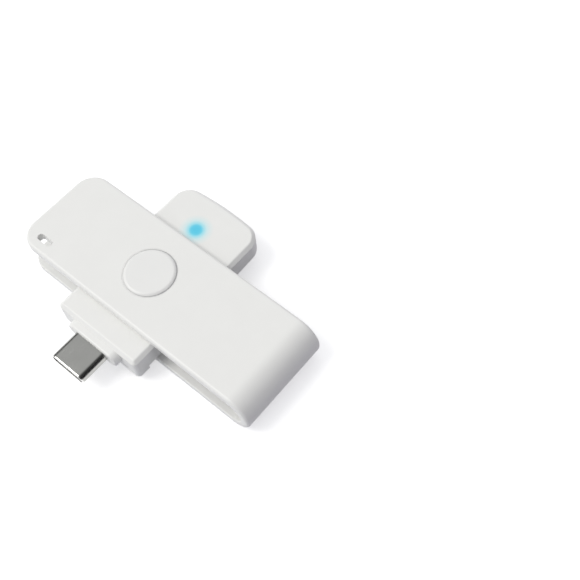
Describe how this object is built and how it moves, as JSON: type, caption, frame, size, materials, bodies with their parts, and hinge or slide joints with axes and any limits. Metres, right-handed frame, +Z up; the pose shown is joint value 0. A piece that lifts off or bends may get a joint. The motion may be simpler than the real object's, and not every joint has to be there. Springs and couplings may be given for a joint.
{
  "type": "smart card reader",
  "caption": "Pocket smart card reader with a small plug, a status light and a U-shaped swivel cover that folds over it",
  "frame": {"origin": "where the swivel axis meets the underside of the cover, which lies on the table", "axes": "+Z up along the swivel axis, +X along the cover towards its fold, plug points to -Y, light end to +Y"},
  "size_m": [0.0599, 0.0442, 0.01],
  "materials": {
    "cover_plastic": "satin white moulded ABS",
    "case_plastic": "satin white moulded ABS, thin over the light",
    "plate_plastic": "fine-grained white moulded ABS",
    "cap_plastic": "satin white moulded ABS",
    "board_laminate": "green solder mask on glass-epoxy laminate",
    "chip_resin": "black moulded epoxy",
    "crystal_can": "plated metal lid",
    "led_lens": "clear resin over a blue-white die",
    "capacitor_ceramic": "brown ceramic with tinned ends",
    "resistor_film": "black coated film with tinned ends",
    "plug_steel": "drawn stainless steel, bright mouth",
    "plug_resin": "black moulded resin",
    "gold_plate": "gold-plated copper alloy",
    "spring_steel": "stamped spring steel"
  },
  "bodies": {
    "cover": {"swivel_cover": "cover_plastic"},
    "reader": {"upper_case": "case_plastic", "base_plate": "plate_plastic", "pivot_cap": "cap_plastic", "circuit_board": "board_laminate", "reader_controller": "chip_resin", "crystal": "crystal_can", "status_led": "led_lens", "capacitors": "capacitor_ceramic", "resistors": "resistor_film", "plug_shell": "plug_steel", "plug_insulator": "plug_resin", "plug_contacts_upper": "gold_plate", "plug_contacts_lower": "gold_plate", "plug_latch": "spring_steel", "switch_blade": "gold_plate", "switch_contact": "gold_plate", "card_contact_1": "gold_plate", "card_contact_2": "gold_plate", "card_contact_3": "gold_plate", "card_contact_4": "gold_plate", "card_contact_5": "gold_plate", "card_contact_6": "gold_plate", "card_contact_7": "gold_plate", "card_contact_8": "gold_plate"}
  },
  "joints": [
    {"name": "swivel", "type": "hinge", "parent": "cover", "child": "reader", "pos_m": [0, 0, 0], "axis": [0, 0, 1], "continuous": true}
  ]
}
